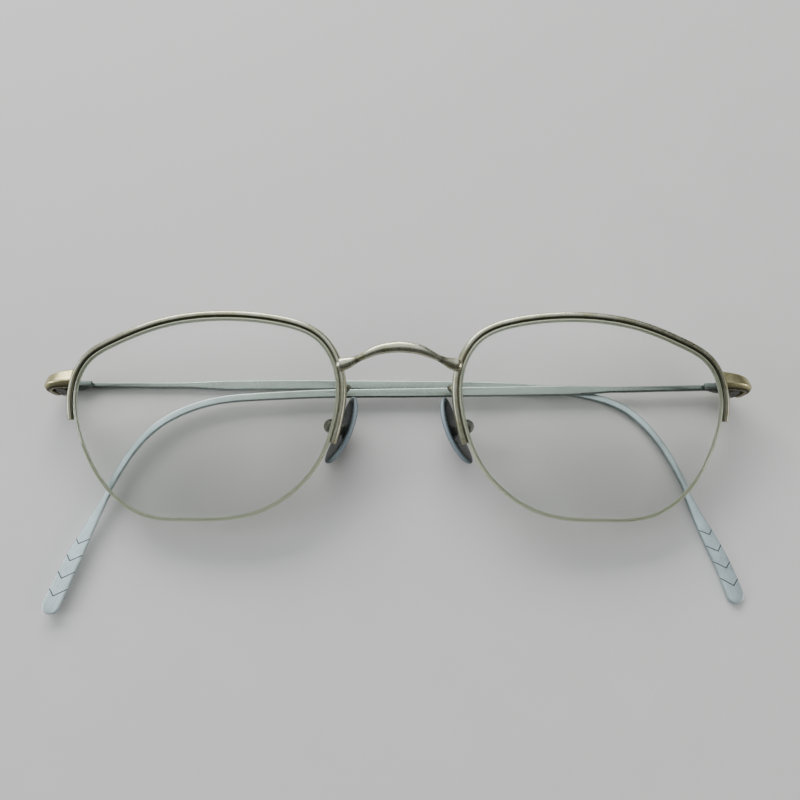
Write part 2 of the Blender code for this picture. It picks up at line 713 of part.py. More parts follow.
def main():
    clear_scene()
    root = empty("eyeglasses")
    roll = math.asin(STACK / (2 * AXIS_X))
    height = TEMPLE_OUTER + AXIS_BACK + STACK / 2
    turn = Matrix.Rotation(-roll, 3, "Y")
    front = empty("front", root, (0, 0, height), turn)
    lens_plane = empty("lens_plane", front, rotation=Matrix.Rotation(TILT, 3, "X"))

    bridge("bridge", lens_plane)
    for hand, side in SIDES.items():
        lens(f"lens_{hand}", lens_plane, side)
        rim(f"rim_{hand}", lens_plane, side)
        rim_liner(f"rim_liner_{hand}", lens_plane, side)
        nylon_cord(f"nylon_cord_{hand}", lens_plane, side)
        end_piece(f"end_piece_{hand}", front, side)

        axis = Vector((AXIS_X * side, AXIS_Y, -AXIS_BACK))
        fixed = empty(f"hinge_front_{hand}_place", front, axis)
        hinge_front(f"hinge_front_{hand}", fixed, side)
        hinge_screw(f"hinge_screw_{hand}", fixed, side)
        pivot = empty(f"temple_{hand}_hinge", root, turn @ axis + Vector((0, 0, height)))
        temple(f"temple_{hand}", pivot, side, TEMPLE_PATHS[hand])
        hinge_temple(f"hinge_temple_{hand}", pivot, side, TEMPLE_PATHS[hand][0][1])

        place = Vector((PAD_PIVOT.x * side, PAD_PIVOT.y, PAD_PIVOT.z))
        rocker = empty(f"pad_{hand}_rock", lens_plane, place, pad_frame(side))
        pad_arm(f"pad_arm_{hand}", lens_plane, side)
        for build in (pad_box, pad_screw, pad_core, nose_pad):
            build(f"{build.__name__}_{hand}", rocker, 1)
    stand_on_origin(root)


main()
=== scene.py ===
"""The finished look of the half-rim eyeglasses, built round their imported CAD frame.

Every fine piece stands for one CAD solid, at the same place and size. Shapes are written in
millimetres in the CAD model's own local frames, for the wearer's side at +X, and mirrored.
"""

import json
import math

import bmesh
import bpy
import numpy as np
from mathutils import Matrix, Vector


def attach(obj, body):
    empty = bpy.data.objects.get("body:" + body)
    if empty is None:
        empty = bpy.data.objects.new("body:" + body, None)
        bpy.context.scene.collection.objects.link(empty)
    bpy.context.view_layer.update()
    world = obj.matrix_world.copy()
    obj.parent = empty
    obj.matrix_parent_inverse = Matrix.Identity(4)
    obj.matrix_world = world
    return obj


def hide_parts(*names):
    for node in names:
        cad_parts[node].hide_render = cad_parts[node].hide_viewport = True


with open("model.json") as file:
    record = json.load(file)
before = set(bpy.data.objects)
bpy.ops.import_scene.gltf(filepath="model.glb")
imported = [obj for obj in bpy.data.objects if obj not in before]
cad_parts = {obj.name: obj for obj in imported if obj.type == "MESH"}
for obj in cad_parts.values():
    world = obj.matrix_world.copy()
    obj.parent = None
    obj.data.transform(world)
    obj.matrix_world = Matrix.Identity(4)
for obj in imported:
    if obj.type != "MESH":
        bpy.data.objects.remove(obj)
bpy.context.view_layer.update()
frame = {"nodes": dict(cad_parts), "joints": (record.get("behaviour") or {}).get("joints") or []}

MM = 0.001
SIDES = {"left": -1, "right": 1}

# ---------------------------------------------------------------- dimensions: the CAD's and finer ones

GAP = 0.15
# The right lens's outline from its middle, as (towards the temple, up).
LENS_OUTLINE = [
    (23.2, 3.9), (20.8, 9.7), (15.8, 12.8), (7.7, 15.8), (-4.5, 17.2), (-13.0, 16.4),
    (-20.1, 13.6), (-23.3, 7.8), (-23.0, -0.5), (-20.5, -7.5), (-15.6, -13.3), (-8.6, -17.1),
    (2.0, -18.2), (10.8, -17.4), (17.7, -12.3), (21.7, -5.1),
]
LENS_CENTRE_X = 34.1
LENS_CURVE_RADIUS = 120.0
LENS_EDGE = 2.2
LENS_MIDDLE = 1.8
WRAP = math.radians(3.0)
LENS_CHAMFER = 0.15
GROOVE_HALF = 0.45
GROOVE_DEPTH = 0.6
RIM_DEPTH = 1.1
RIM_HALF = 1.1
CHANNEL_DEPTH = 0.5
RIM_END_TEMPLE = -0.5
RIM_END_NOSE = -4.3
CORD_RADIUS = 0.3
CORD_OFFSET = -0.15
CORD_HOLD = 2.5  # length of cord inside each rim end

TILT = math.radians(15.0)
AXIS_X = 61.2
AXIS_Y = 8.0
AXIS_BACK = 8.2  # from the front's middle back to the hinge axes
BARREL_RADIUS = 1.0
SCREW_RADIUS = 0.5
STRAP_INNER = BARREL_RADIUS + GAP
STRAP_THICK = 1.5
STRAP_X = AXIS_X + STRAP_INNER + STRAP_THICK / 2
END_PIECE_PATH = [
    (57.9, 7.4, -1.6), (59.2, 7.3, -1.7), (60.5, 7.2, -1.9), (62.0, 7.0, -2.5),
    (62.95, 6.95, -3.8), (STRAP_X, 7.15, -5.7), (STRAP_X, 7.5, -8.3),
]
# The strap's height, as (length along it, height).
END_PIECE_HEIGHTS = [(0.0, 3.3), (0.6, 3.2), (2.2, 3.0), (4.2, 2.6), (6.6, 2.7), (9.6, 3.1)]
KNUCKLES = {"bottom": (-2.0, -0.6), "middle": (-0.5, 0.4), "top": (0.5, 1.1)}
BARREL_CHAMFER = 0.09
LEAF_THICK = 0.65
LEAF_FRONT = (1.3, 3.2)
LEAF_TEMPLE = (1.35, 4.4)
LEAF_HALF = 0.5
HEEL_HALF = 1.0
HEEL_CLEAR = 0.4
HEEL_SPAN = (-0.3, 4.2)  # from inside the bottom barrel back to the strap
WEB_FRONT = (0.3, 1.6)
WEB_TEMPLE = (1.6, 0.7)
WEB_SINK = 0.02
SCREW_PLAY = 0.1
SCREW_CHAMFER = 0.1
SCREW_HEAD_RADIUS = 0.85
SCREW_HEAD_TALL = 0.45
SCREW_SLOT_HALF = 0.16 * SCREW_HEAD_RADIUS
SCREW_SLOT_REACH = 1.2 * SCREW_HEAD_RADIUS

TEMPLE_OUTER = STRAP_INNER + 1.2
# Temple centre lines, folded, as (inwards from the hinge, up).
TEMPLE_PATHS = {
    "left": [
        (0.5, 0.45), (31.0, 0.65), (61.0, 0.85), (78.0, 0.75), (90.0, 0.1), (97.0, -1.1),
        (103.0, -3.3), (107.5, -7.2), (110.8, -12.1), (113.3, -17.6), (115.4, -23.0),
        (117.7, -28.3), (119.8, -33.5), (121.45, -39.05),
    ],
    "right": [
        (0.5, 0.35), (30.0, -0.35), (60.0, -1.0), (76.0, -1.35), (88.0, -2.0), (95.0, -2.8),
        (100.0, -4.4), (104.5, -6.9), (108.2, -10.5), (111.2, -15.3), (114.0, -21.4),
        (117.0, -28.2), (119.4, -34.2), (121.9, -41.0),
    ],
}
# The temple's section, as (length along it, height, thickness).
TEMPLE_SECTIONS = [
    (0.0, 2.0, 1.1), (1.5, 2.0, 1.1), (2.6, 1.0, 1.1), (21.0, 1.05, 1.1), (29.0, 1.85, 0.95),
    (45.0, 1.8, 0.95), (85.0, 1.45, 0.95), (100.0, 1.3, 1.0), (116.0, 1.15, 1.0),
    (122.0, 1.0, 0.9), (127.0, 1.7, 0.85), (133.0, 2.7, 0.85), (140.0, 3.0, 0.85),
    (150.0, 3.0, 0.85),
]
TEMPLE_TIP = 1.5
# Each groove has two arms from its elbow, and falls back towards the hinge.
CHEVRONS = 4
CHEVRON_START = 3.0
CHEVRON_STEP = 3.2
CHEVRON_LEAN = 0.27
CHEVRON_REACH = 1.7
CHEVRON_OUTER_FALL = 1.15
CHEVRON_INNER_FALL = 2.05
CHEVRON_WIDTH = 0.24
CHEVRON_DEPTH = 0.16

BRIDGE_PATH = [
    (0.0, 12.1, 2.0), (3.9, 11.5, 1.8), (6.4, 10.4, 1.3), (7.9, 9.75, 0.8), (9.4, 9.25, 0.45),
    (10.9, 8.95, 0.4),
]
BRIDGE_SECTIONS = [
    (0.0, 2.0, 1.5), (3.9, 1.75, 1.4), (7.2, 1.15, 1.15), (8.2, 1.3, 1.2), (9.3, 2.0, 1.4),
    (10.4, 2.25, 1.4), (13.0, 2.25, 1.4),
]
BRIDGE_TIP = 1.1
BRIDGE_NECK = 7.7  # from the middle to the narrow waist beside a foot

PAD_PIVOT = Vector((12.0, -1.9, -5.9))
PAD_SPLAY = math.radians(25.0)
PAD_LEAN = math.radians(23.0)
PAD_LENGTH = 13.0
PAD_WIDTH = 6.2
PAD_THICK = 1.3
PAD_STAND = 1.85  # from the pad screw's axis to the pad's back
PAD_BOW = 0.018  # bend per square of the distance from the pad's middle
BOX_RADIUS = 1.3
BOX_HALF = 1.1
TAB_HALF = 0.4
TAB_REACH = 0.8
PAD_ARM_RADIUS = 0.45
PAD_ARM_PATH = [
    (9.9, 4.2, -2.85), (9.2, 5.2, -3.7), (9.1, 5.2, -5.0), (10.1, 4.1, -6.1), (10.8, 2.6, -6.4),
    (11.1, 1.1, -6.2),
]
PAD_SCREW_RADIUS = 0.35
PAD_SCREW_HEAD_TALL = 0.4

# ---------------------------------------------------------------- places, from the frame's joints

JOINTS = {joint["name"]: joint for joint in frame["joints"]}
HINGES = {hand: Vector(JOINTS[f"temple_{hand}_hinge"]["pos_m"]) for hand in SIDES}
ACROSS = (HINGES["right"] - HINGES["left"]).normalized()
UP = Vector((0, 1, 0))
OUT = ACROSS.cross(UP)
FRONT_ORIGIN = (HINGES["left"] + HINGES["right"]) / 2 - UP * AXIS_Y * MM + OUT * AXIS_BACK * MM


def local_frame(origin, turn):
    """Turns millimetres in a local frame into metres in the world."""
    return Matrix.Translation(origin) @ turn.to_4x4() @ Matrix.Diagonal((MM, MM, MM, 1))


FRONT_TURN = Matrix((ACROSS, UP, OUT)).transposed()
FRONT = local_frame(FRONT_ORIGIN, FRONT_TURN)
LENS_PLANE = local_frame(FRONT_ORIGIN, FRONT_TURN @ Matrix.Rotation(TILT, 3, "X"))
HINGE_PLACES = {
    hand: FRONT @ Matrix.Translation((AXIS_X * side, AXIS_Y, -AXIS_BACK))
    for hand, side in SIDES.items()
}
TEMPLE_PLACES = {hand: local_frame(HINGES[hand], Matrix.Identity(3)) for hand in SIDES}


def pad_axes():
    """Directions of a pad: down its length, across it towards the face, and out at the nose."""
    length = Vector((math.sin(PAD_LEAN), -math.cos(PAD_LEAN), 0))
    across = Vector((math.sin(PAD_SPLAY), 0, -math.cos(PAD_SPLAY)))
    across = (across - length * across.dot(length)).normalized()
    return length, across, across.cross(length)


def pad_place(side):
    columns = [Vector((axis.x * side, axis.y, axis.z)) for axis in pad_axes()]
    if side < 0:
        columns[0] = -columns[0]
    place = Matrix.Translation((PAD_PIVOT.x * side, PAD_PIVOT.y, PAD_PIVOT.z))
    return LENS_PLANE @ place @ Matrix(columns).transposed().to_4x4()


# ---------------------------------------------------------------- mesh tools


def spline(points, closed=False):
    """Points along a natural cubic spline, with the length along it."""
    knots = np.array(points, float)
    if closed:
        knots = np.vstack([knots, knots[:1]])
    steps = np.linalg.norm(np.diff(knots, axis=0), axis=1)
    at = np.concatenate([[0.0], np.cumsum(steps)])
    size = len(knots)
    system = np.eye(size)
    right = np.zeros_like(knots)
    slopes = np.diff(knots, axis=0) / steps[:, None]
    for i in range(1, size - 1):
        system[i, i - 1 : i + 2] = steps[i - 1], 2 * (steps[i - 1] + steps[i]), steps[i]
        right[i] = 6 * (slopes[i] - slopes[i - 1])
    if closed:
        system[0, [0, 1, -2]] = 2 * (steps[-1] + steps[0]), steps[0], steps[-1]
        right[0] = 6 * (slopes[0] - slopes[-1])
        system[-1, 0] = -1.0
    bends = np.linalg.solve(system, right)
    where = np.linspace(0, at[-1], 1200)
    i = np.clip(np.searchsorted(at, where, side="right") - 1, 0, size - 2)
    step = steps[i][:, None]
    low = (at[i + 1] - where)[:, None]
    high = (where - at[i])[:, None]
    curve = (bends[i] * low**3 + bends[i + 1] * high**3) / (6 * step)
    curve += (knots[i] / step - bends[i] * step / 6) * low
    curve += (knots[i + 1] / step - bends[i + 1] * step / 6) * high
    along = np.concatenate([[0.0], np.cumsum(np.linalg.norm(np.diff(curve, axis=0), axis=1))])
    return curve, along


def at_lengths(curve, along, wanted):
    return np.stack([np.interp(wanted, along, column) for column in curve.T], axis=1)


def point_at(curve, along, distance):
    return at_lengths(curve, along, np.array([distance]))[0]


def heading_at(curve, along, distance, reach=0.15):
    ends = np.clip([distance - reach, distance + reach], 0, along[-1])
    ahead = at_lengths(curve, along, ends)
    return (ahead[1] - ahead[0]) / np.linalg.norm(ahead[1] - ahead[0])


def eased(table, column, where, blur=0.6):
    """A table's column at a place, with its corners rounded."""
    table = np.array(table)
    near = where + np.linspace(-blur, blur, 7)
    return float(np.mean(np.interp(near, table[:, 0], table[:, column])))


def filleted(corners, steps=4):
    """A closed outline from corners of (x, y, radius), each rounded in this many steps."""
    points = np.array([corner[:2] for corner in corners], float)
    outline = []
    for i, (_, _, radius) in enumerate(corners):
        corner = points[i]
        before = points[i - 1] - corner
        after = points[(i + 1) % len(points)] - corner
        before /= np.linalg.norm(before)
        after /= np.linalg.norm(after)
        half = math.acos(np.clip(before @ after, -1, 1)) / 2
        if radius == 0 or half > 1.55:
            outline.append(tuple(corner))
            continue
        middle = corner + (before + after) / np.linalg.norm(before + after) * radius / math.sin(half)
        first = corner + before * radius / math.tan(half) - middle
        last = corner + after * radius / math.tan(half) - middle
        for k in range(steps + 1):
            spoke = first * (1 - k / steps) + last * (k / steps)
            outline.append(tuple(middle + spoke / np.linalg.norm(spoke) * radius))
    return outline


def loft(bm, rings, along, ends=("cap", "cap"), patina_and_painted_light=None):
    """Skins equal rings, with UV of (length, share round the ring). Ends are caps or pole points."""
    uv = bm.loops.layers.uv.verify()
    # Per-vertex mask: painted shade on the pieces' shaded sides, a painted reflection along the pads'
    # rolled edges, and patina at the bridge's necks.
    painted_light_and_patina_mask = bm.verts.layers.float.get("patina_and_painted_light") or bm.verts.layers.float.new("patina_and_painted_light")
    count = len(rings[0])
    rows = []
    for i, ring in enumerate(rings):
        row = [bm.verts.new(Vector(point)) for point in ring]
        if patina_and_painted_light is not None:
            for k, vert in enumerate(row):
                vert[painted_light_and_patina_mask] = patina_and_painted_light(i, k)
        rows.append(row)
    for i in range(len(rows) - 1):
        for k in range(count):
            j = (k + 1) % count
            face = bm.faces.new((rows[i][k], rows[i][j], rows[i + 1][j], rows[i + 1][k]))
            spots = ((i, k), (i, k + 1), (i + 1, k + 1), (i + 1, k))
            for loop, (a, b) in zip(face.loops, spots):
                loop[uv].uv = (along[a], b / count)
    for row, end in zip((rows[0], rows[-1]), ends):
        if isinstance(end, str):
            bm.faces.new(row)
            continue
        tip = bm.verts.new(Vector(end))
        for k in range(count):
            bm.faces.new((row[k], row[(k + 1) % count], tip))


def finished(name, bm, place, side, looks, sharp=35.0):
    """Writes a mesh made in millimetres in a local frame as an object in the world's metres."""
    matrix = place @ Matrix.Diagonal((side, 1, 1, 1))
    bmesh.ops.transform(bm, matrix=matrix, verts=bm.verts)
    bmesh.ops.recalc_face_normals(bm, faces=bm.faces)
    mesh = bpy.data.meshes.new(name)
    bm.to_mesh(mesh)
    bm.free()
    for look in looks:
        mesh.materials.append(look)
    mesh.shade_smooth()
    mesh.set_sharp_from_angle(angle=math.radians(sharp))
    obj = bpy.data.objects.new(name, mesh)
    bpy.context.scene.collection.objects.link(obj)
    return obj


def cut(obj, tool, sharp=35.0):
    """Cuts a tool from a piece for good, and drops the tool."""
    modifier = obj.modifiers.new("cut", "BOOLEAN")
    modifier.operation = "DIFFERENCE"
    modifier.solver = "EXACT"
    modifier.object = tool
    graph = bpy.context.evaluated_depsgraph_get()
    mesh = bpy.data.meshes.new_from_object(obj.evaluated_get(graph))
    obj.modifiers.clear()
    obj.data = mesh
    mesh.set_sharp_from_angle(angle=math.radians(sharp))
    bpy.data.objects.remove(tool)


def turned(bm, profile, segments=48):
    """Spins an open profile of (radius, height) round the Y axis. It starts and ends on the axis."""
    rings = []
    for radius, height in profile[1:-1]:
        turns = np.arange(segments) * math.tau / segments
        rings.append([(radius * math.cos(t), height, radius * math.sin(t)) for t in turns])
    along = np.arange(len(rings)) * 0.5
    ends = ((0, profile[0][1], 0), (0, profile[-1][1], 0))
    loft(bm, rings, along, ends)


def slab(bm, corners, low, high, chamfer=0.06):
    """Pushes an outline of (x, z) from low to high along Y, with a small chamfer at both ends."""
    middle = np.mean(corners, axis=0)
    rings = []
    for height, inset in ((low, 1), (low + chamfer, 0), (high - chamfer, 0), (high, 1)):
        ring = []
        for point in corners:
            arm = np.array(point) - middle
            a, b = middle + arm * (1 - inset * chamfer / max(np.linalg.norm(arm), chamfer))
            ring.append((a, height, b))
        rings.append(ring)
    loft(bm, rings, [0, 0.1, 1, 1.1])


# ---------------------------------------------------------------- materials


class Look:
    """A material with a Principled shader, and short ways to add and join its nodes."""

    def __init__(self, name, **sockets):
        self.material = bpy.data.materials.new(name)
        self.material.use_nodes = True
        self.tree = self.material.node_tree
        self.shader = self.tree.nodes["Principled BSDF"]
        for socket, value in sockets.items():
            self.shader.inputs[socket.replace("_", " ")].default_value = value

    def node(self, kind, inputs=None, **settings):
        made = self.tree.nodes.new(f"ShaderNode{kind}")
        for setting, value in settings.items():
            setattr(made, setting, value)
        for socket, value in (inputs or {}).items():
            if isinstance(value, bpy.types.NodeSocket):
                self.tree.links.new(value, made.inputs[socket])
            else:
                made.inputs[socket].default_value = value
        return made

    def set(self, socket, source):
        self.tree.links.new(source, self.shader.inputs[socket])

    def place(self, kind="Object", scale=(1, 1, 1)):
        coordinates = self.node("TexCoord")
        mapping = self.node("Mapping", {"Vector": coordinates.outputs[kind], "Scale": scale})
        return mapping.outputs["Vector"]

    def noise(self, vector, scale, detail=4.0, roughness=0.5):
        inputs = {"Vector": vector, "Scale": scale, "Detail": detail, "Roughness": roughness}
        return self.node("TexNoise", inputs).outputs["Fac"]

    def ramp(self, source, low, high, start=0.0, stop=1.0):
        """Maps a value from low..high onto start..stop, held at both ends."""
        inputs = {"Value": source, "From Min": low, "From Max": high, "To Min": start, "To Max": stop}
        return self.node("MapRange", inputs).outputs["Result"]

    def mix(self, factor, first, second):
        made = self.node("Mix", {0: factor}, data_type="RGBA")
        for socket, colour in ((6, first), (7, second)):
            if isinstance(colour, bpy.types.NodeSocket):
                self.tree.links.new(colour, made.inputs[socket])
            else:
                made.inputs[socket].default_value = (*colour, 1.0)
        return made.outputs[2]

    def join(self, operation, first, second):
        return self.node("Math", {0: first, 1: second}, operation=operation).outputs[0]

    def bump(self, height, strength, distance):
        inputs = {"Height": height, "Strength": strength, "Distance": distance}
        self.set("Normal", self.node("Bump", inputs).outputs["Normal"])


def antique_metal(name, pale, warm, dark, rough):
    """Pewter-brass: mottled, scuffed to bare metal, with dark tarnish in its recesses, and painted
    shade on its shaded sides from a per-vertex mask.
    """
    look = Look(name, Metallic=1.0)
    spot = look.place()
    clouds = look.noise(spot, 420.0, 5.0)
    grains = look.noise(spot, 5200.0, 3.0, 0.6)
    scuffs = look.noise(look.place(scale=(1, 6, 2)), 1700.0, 6.0, 0.65)
    body = look.mix(look.ramp(clouds, 0.38, 0.66), pale, warm)
    recess = look.node("AmbientOcclusion", {"Distance": 0.0007}, samples=6, only_local=True)
    shade = look.ramp(recess.outputs["AO"], 0.75, 0.30)
    # The mask paints shade on the rims' inner band, back half and side walls, on the end straps' lower
    # and back faces and on the bridge's underside; at the bridge's necks it is patina.
    painted_light_and_patina_mask = look.node("Attribute", attribute_name="patina_and_painted_light").outputs["Fac"]
    cover = look.join("MAXIMUM", shade, painted_light_and_patina_mask)
    cover = look.join("MULTIPLY", cover, look.ramp(scuffs, 0.30, 0.52, 0.75, 1.0))
    body = look.mix(cover, body, dark)
    look.set("Base Color", look.mix(look.ramp(grains, 0.60, 0.78, 0.0, 0.22), body, dark))
    worn = look.join("ADD", look.ramp(scuffs, 0.35, 0.65, -0.07, 0.09), rough)
    look.set("Roughness", look.join("ADD", worn, look.join("MULTIPLY", cover, 0.18)))
    look.bump(look.join("ADD", grains, scuffs), 0.12, 0.00002)
    return look.material


def drawn_metal(name, satin, blasted, rough):
    """Pale temple wire: drawn lines along the straight, and a blasted matt finish at the ear."""
    look = Look(name, Metallic=1.0)
    lines = look.noise(look.place("UV", (0.25, 46.0, 1.0)), 3.0, 5.0, 0.6)
    grains = look.noise(look.place(), 6500.0, 2.0, 0.7)
    clouds = look.noise(look.place(), 260.0, 4.0)
    length = look.node("SeparateXYZ", {0: look.place("UV")}).outputs["X"]
    ear = look.ramp(length, 84.0, 106.0)
    body = look.mix(ear, satin, blasted)
    body = look.mix(look.ramp(clouds, 0.35, 0.70, 0.0, 0.30), body, (0.20, 0.225, 0.21))
    body = look.mix(look.ramp(lines, 0.52, 0.72, 0.0, 0.28), body, (0.10, 0.115, 0.105))
    # The per-vertex mask paints shade along the temple's lower edge and darkens it near the hinge.
    painted_light_and_patina_mask = look.node("Attribute", attribute_name="patina_and_painted_light").outputs["Fac"]
    look.set("Base Color", look.mix(painted_light_and_patina_mask, body, (0.06, 0.075, 0.07)))
    base = look.ramp(ear, 0.0, 1.0, rough, rough + 0.10)
    look.set("Roughness", look.join("ADD", base, look.ramp(grains, 0.3, 0.7, -0.04, 0.05)))
    drawn = look.join("MULTIPLY", lines, look.ramp(ear, 0.0, 1.0, 1.0, 0.15))
    look.bump(look.join("ADD", drawn, look.join("MULTIPLY", grains, 0.7)), 0.30, 0.000015)
    return look.material


def groove_metal(name):
    """The bottom of the paddles' grooves: painted shade in a dark, mottled colour, with a rougher
    finish.
    """
    look = Look(name, Metallic=1.0)
    groove_mottle = look.noise(look.place(), 3800.0, 4.0)
    look.set("Base Color", look.mix(groove_mottle, (0.05, 0.06, 0.06), (0.16, 0.18, 0.18)))
    look.set("Roughness", look.ramp(groove_mottle, 0.3, 0.7, 0.45, 0.65))
    return look.material


def turned_steel(name):
    """Bright screw steel, with fine turning rings."""
    look = Look(name, Metallic=1.0)
    rings = look.noise(look.place(scale=(1, 5, 1)), 5200.0, 3.0)
    wear = look.noise(look.place(), 1500.0, 5.0)
    look.set("Base Color", look.mix(wear, (0.52, 0.50, 0.42), (0.30, 0.29, 0.25)))
    look.set("Roughness", look.ramp(rings, 0.3, 0.7, 0.22, 0.42))
    look.bump(rings, 0.2, 0.00001)
    return look.material


def lens_glass(name):
    """Clear lens: faint smears, and a few specks of dust."""
    look = Look(name, Transmission_Weight=1.0, IOR=1.5)
    smears = look.noise(look.place(scale=(1, 2.4, 1)), 160.0, 3.0)
    dust = look.noise(look.place(), 2600.0, 1.0)
    specks = look.ramp(dust, 0.80, 0.84)
    look.set("Base Color", look.mix(specks, (0.975, 0.985, 0.965), (0.80, 0.80, 0.76)))
    film = look.ramp(smears, 0.45, 0.75, 0.0, 0.035)
    look.set("Roughness", look.join("MAXIMUM", film, look.join("MULTIPLY", specks, 0.6)))
    return look.material


def ground_edge(name):
    """The lens's edge: ground matt, faintly yellow-green."""
    look = Look(name, Transmission_Weight=0.35, IOR=1.5)
    grind = look.noise(look.place(), 4200.0, 4.0)
    look.set("Base Color", look.mix(grind, (0.50, 0.55, 0.40), (0.74, 0.77, 0.60)))
    look.set("Roughness", look.ramp(grind, 0.3, 0.7, 0.30, 0.55))
    look.bump(grind, 0.4, 0.00002)
    return look.material


def monofilament(name):
    """Cream nylon cord, slightly cloudy, with small glints."""
    look = Look(name, Transmission_Weight=0.25, IOR=1.53)
    clouds = look.noise(look.place(), 900.0, 4.0)
    pits = look.noise(look.place(), 3600.0, 3.0)
    look.set("Base Color", look.mix(clouds, (0.90, 0.85, 0.62), (0.62, 0.57, 0.36)))
    look.set("Roughness", look.ramp(pits, 0.3, 0.7, 0.18, 0.45))
    look.bump(pits, 0.3, 0.00002)
    return look.material


def painted_light_silicone(name):
    """Nose pad: translucent moulding, near-black as painted shade and dark reflections, with a painted
    pale reflection along its rolled edge.
    """
    look = Look(name, Transmission_Weight=0.12, IOR=1.41)
    haze = look.noise(look.place(), 700.0, 4.0)
    skin = look.noise(look.place(), 5200.0, 2.0)
    edge = look.node("Attribute", attribute_name="patina_and_painted_light").outputs["Fac"]
    # Near-black tones: painted shade and dark reflections.
    painted_shade_tone = look.mix(haze, (0.008, 0.011, 0.011), (0.022, 0.028, 0.028))
    # The edge mask paints a pale reflection of the sky on the rolled edge.
    look.set("Base Color", look.mix(edge, painted_shade_tone, (0.36, 0.45, 0.50)))
    look.set("Roughness", look.ramp(skin, 0.3, 0.7, 0.16, 0.34))
    look.bump(skin, 0.15, 0.00002)
    return look.material


LOOKS = {
    "rim": antique_metal(
        "rim_pewter_brass", (0.60, 0.59, 0.46), (0.44, 0.42, 0.27), (0.045, 0.045, 0.030), 0.27
    ),
    "end": antique_metal(
        "end_piece_brass", (0.58, 0.53, 0.30), (0.44, 0.40, 0.20), (0.020, 0.018, 0.012), 0.33
    ),
    "temple": drawn_metal("temple_drawn_metal", (0.34, 0.395, 0.345), (0.70, 0.83, 0.85), 0.27),
    # The temple's hinge leaf: a darker copy of the temple metal, as painted shade at the hinge.
    "tongue": drawn_metal("tongue_metal_painted_shade", (0.17, 0.20, 0.18), (0.17, 0.20, 0.18), 0.34),
    "groove": groove_metal("paddle_groove"),
    # Pad arm and box: the rim's brass darkened as painted shade.
    "shaded_pad_brass": antique_metal(
        "pad_brass_painted_shade", (0.17, 0.175, 0.12), (0.11, 0.105, 0.06), (0.012, 0.012, 0.008), 0.33
    ),
    # Front hinge: the rim's brass made near-black as painted shade.
    "hinge": antique_metal(
        "hinge_metal_painted_shade", (0.055, 0.050, 0.042), (0.035, 0.030, 0.022), (0.008, 0.008, 0.006), 0.42
    ),
    "screw": turned_steel("screw_turned_steel"),
    "lens": lens_glass("lens_glass"),
    "edge": ground_edge("lens_ground_edge"),
    "nylon": monofilament("nylon_monofilament"),
    "pad": painted_light_silicone("pad_moulding_painted_light"),
}


# ---------------------------------------------------------------- the lens and what holds it


def lens_curve():
    """The lens's outline, the length along it, and its outward directions."""
    curve, along = spline(LENS_OUTLINE, closed=True)
    heading = np.gradient(np.vstack([curve[-2:-1], curve, curve[1:2]]), axis=0)[1:-1]
    heading /= np.linalg.norm(heading, axis=1)[:, None]
    outward = np.stack([heading[:, 1], -heading[:, 0]], axis=1)
    return curve, along, outward


def surface(u, v):
    """How deep the lens's middle surface lies at a place in the lens plane."""
    return -(u**2 + v**2) / (2 * LENS_CURVE_RADIUS) - u * math.tan(WRAP)


def on_edge(point, outward, offset, depth):
    u, v = point
    return (
        LENS_CENTRE_X + u + outward[0] * offset,
        v + outward[1] * offset,
        surface(u, v) + depth,
    )


def edge_span(lengths):
    """Places on the outline at these lengths, each with its outward direction."""
    curve, along, outward = lens_curve()
    wanted = np.asarray(lengths) % along[-1]
    return list(zip(at_lengths(curve, along, wanted), at_lengths(outward, along, wanted)))


def rim_ends():
    """Lengths along the outline at which the rim starts and stops."""
    curve, along, _ = lens_curve()
    outer = curve[:, 0] > 0
    inner = ~outer
    near_temple = along[outer][np.argmin(abs(curve[outer, 1] - RIM_END_TEMPLE))]
    near_nose = along[inner][np.argmin(abs(curve[inner, 1] - RIM_END_NOSE))]
    return near_temple - along[-1], near_nose


def lens(hand, side):
    """A thin curved shell, with a groove round its ground edge."""
    count = 240
    _, along, _ = lens_curve()
    points = edge_span(np.arange(count) / count * along[-1])

    def ring(scale, face):
        half = (LENS_MIDDLE + (LENS_EDGE - LENS_MIDDLE) * scale**2) / 2
        return [
            (LENS_CENTRE_X + u * scale, v * scale, surface(u * scale, v * scale) + face * half)
            for (u, v), _ in points
        ]

    def lip(offset, depth):
        return [on_edge(point, outward, offset, depth) for point, outward in points]

    half = LENS_EDGE / 2
    shoulder = half - LENS_CHAMFER
    scales = (0.06, 0.16, 0.28, 0.40, 0.52, 0.64, 0.75, 0.85, 0.93, 0.975)
    rings = [ring(scale, 1) for scale in scales]
    rings += [lip(-LENS_CHAMFER, half), lip(0, shoulder), lip(0, GROOVE_HALF)]
    rings += [lip(-GROOVE_DEPTH, GROOVE_HALF), lip(-GROOVE_DEPTH, -GROOVE_HALF)]
    rings += [lip(0, -GROOVE_HALF), lip(0, -shoulder), lip(-LENS_CHAMFER, -half)]
    rings += [ring(scale, -1) for scale in reversed(scales)]
    bm = bmesh.new()
    poles = [(LENS_CENTRE_X, 0, LENS_MIDDLE / 2), (LENS_CENTRE_X, 0, -LENS_MIDDLE / 2)]
    loft(bm, rings, np.arange(len(rings)) * 1.0, poles)
    bm.faces.ensure_lookup_table()
    first = len(scales) * count
    for face in bm.faces[first : first + 7 * count]:
        face.material_index = 1
    looks = [LOOKS["lens"], LOOKS["edge"]]
    obj = finished(f"lens_ground_{hand}", bm, LENS_PLANE, side, looks, 20.0)
    return obj, f"lens_{hand}", "front", "lens_clear"


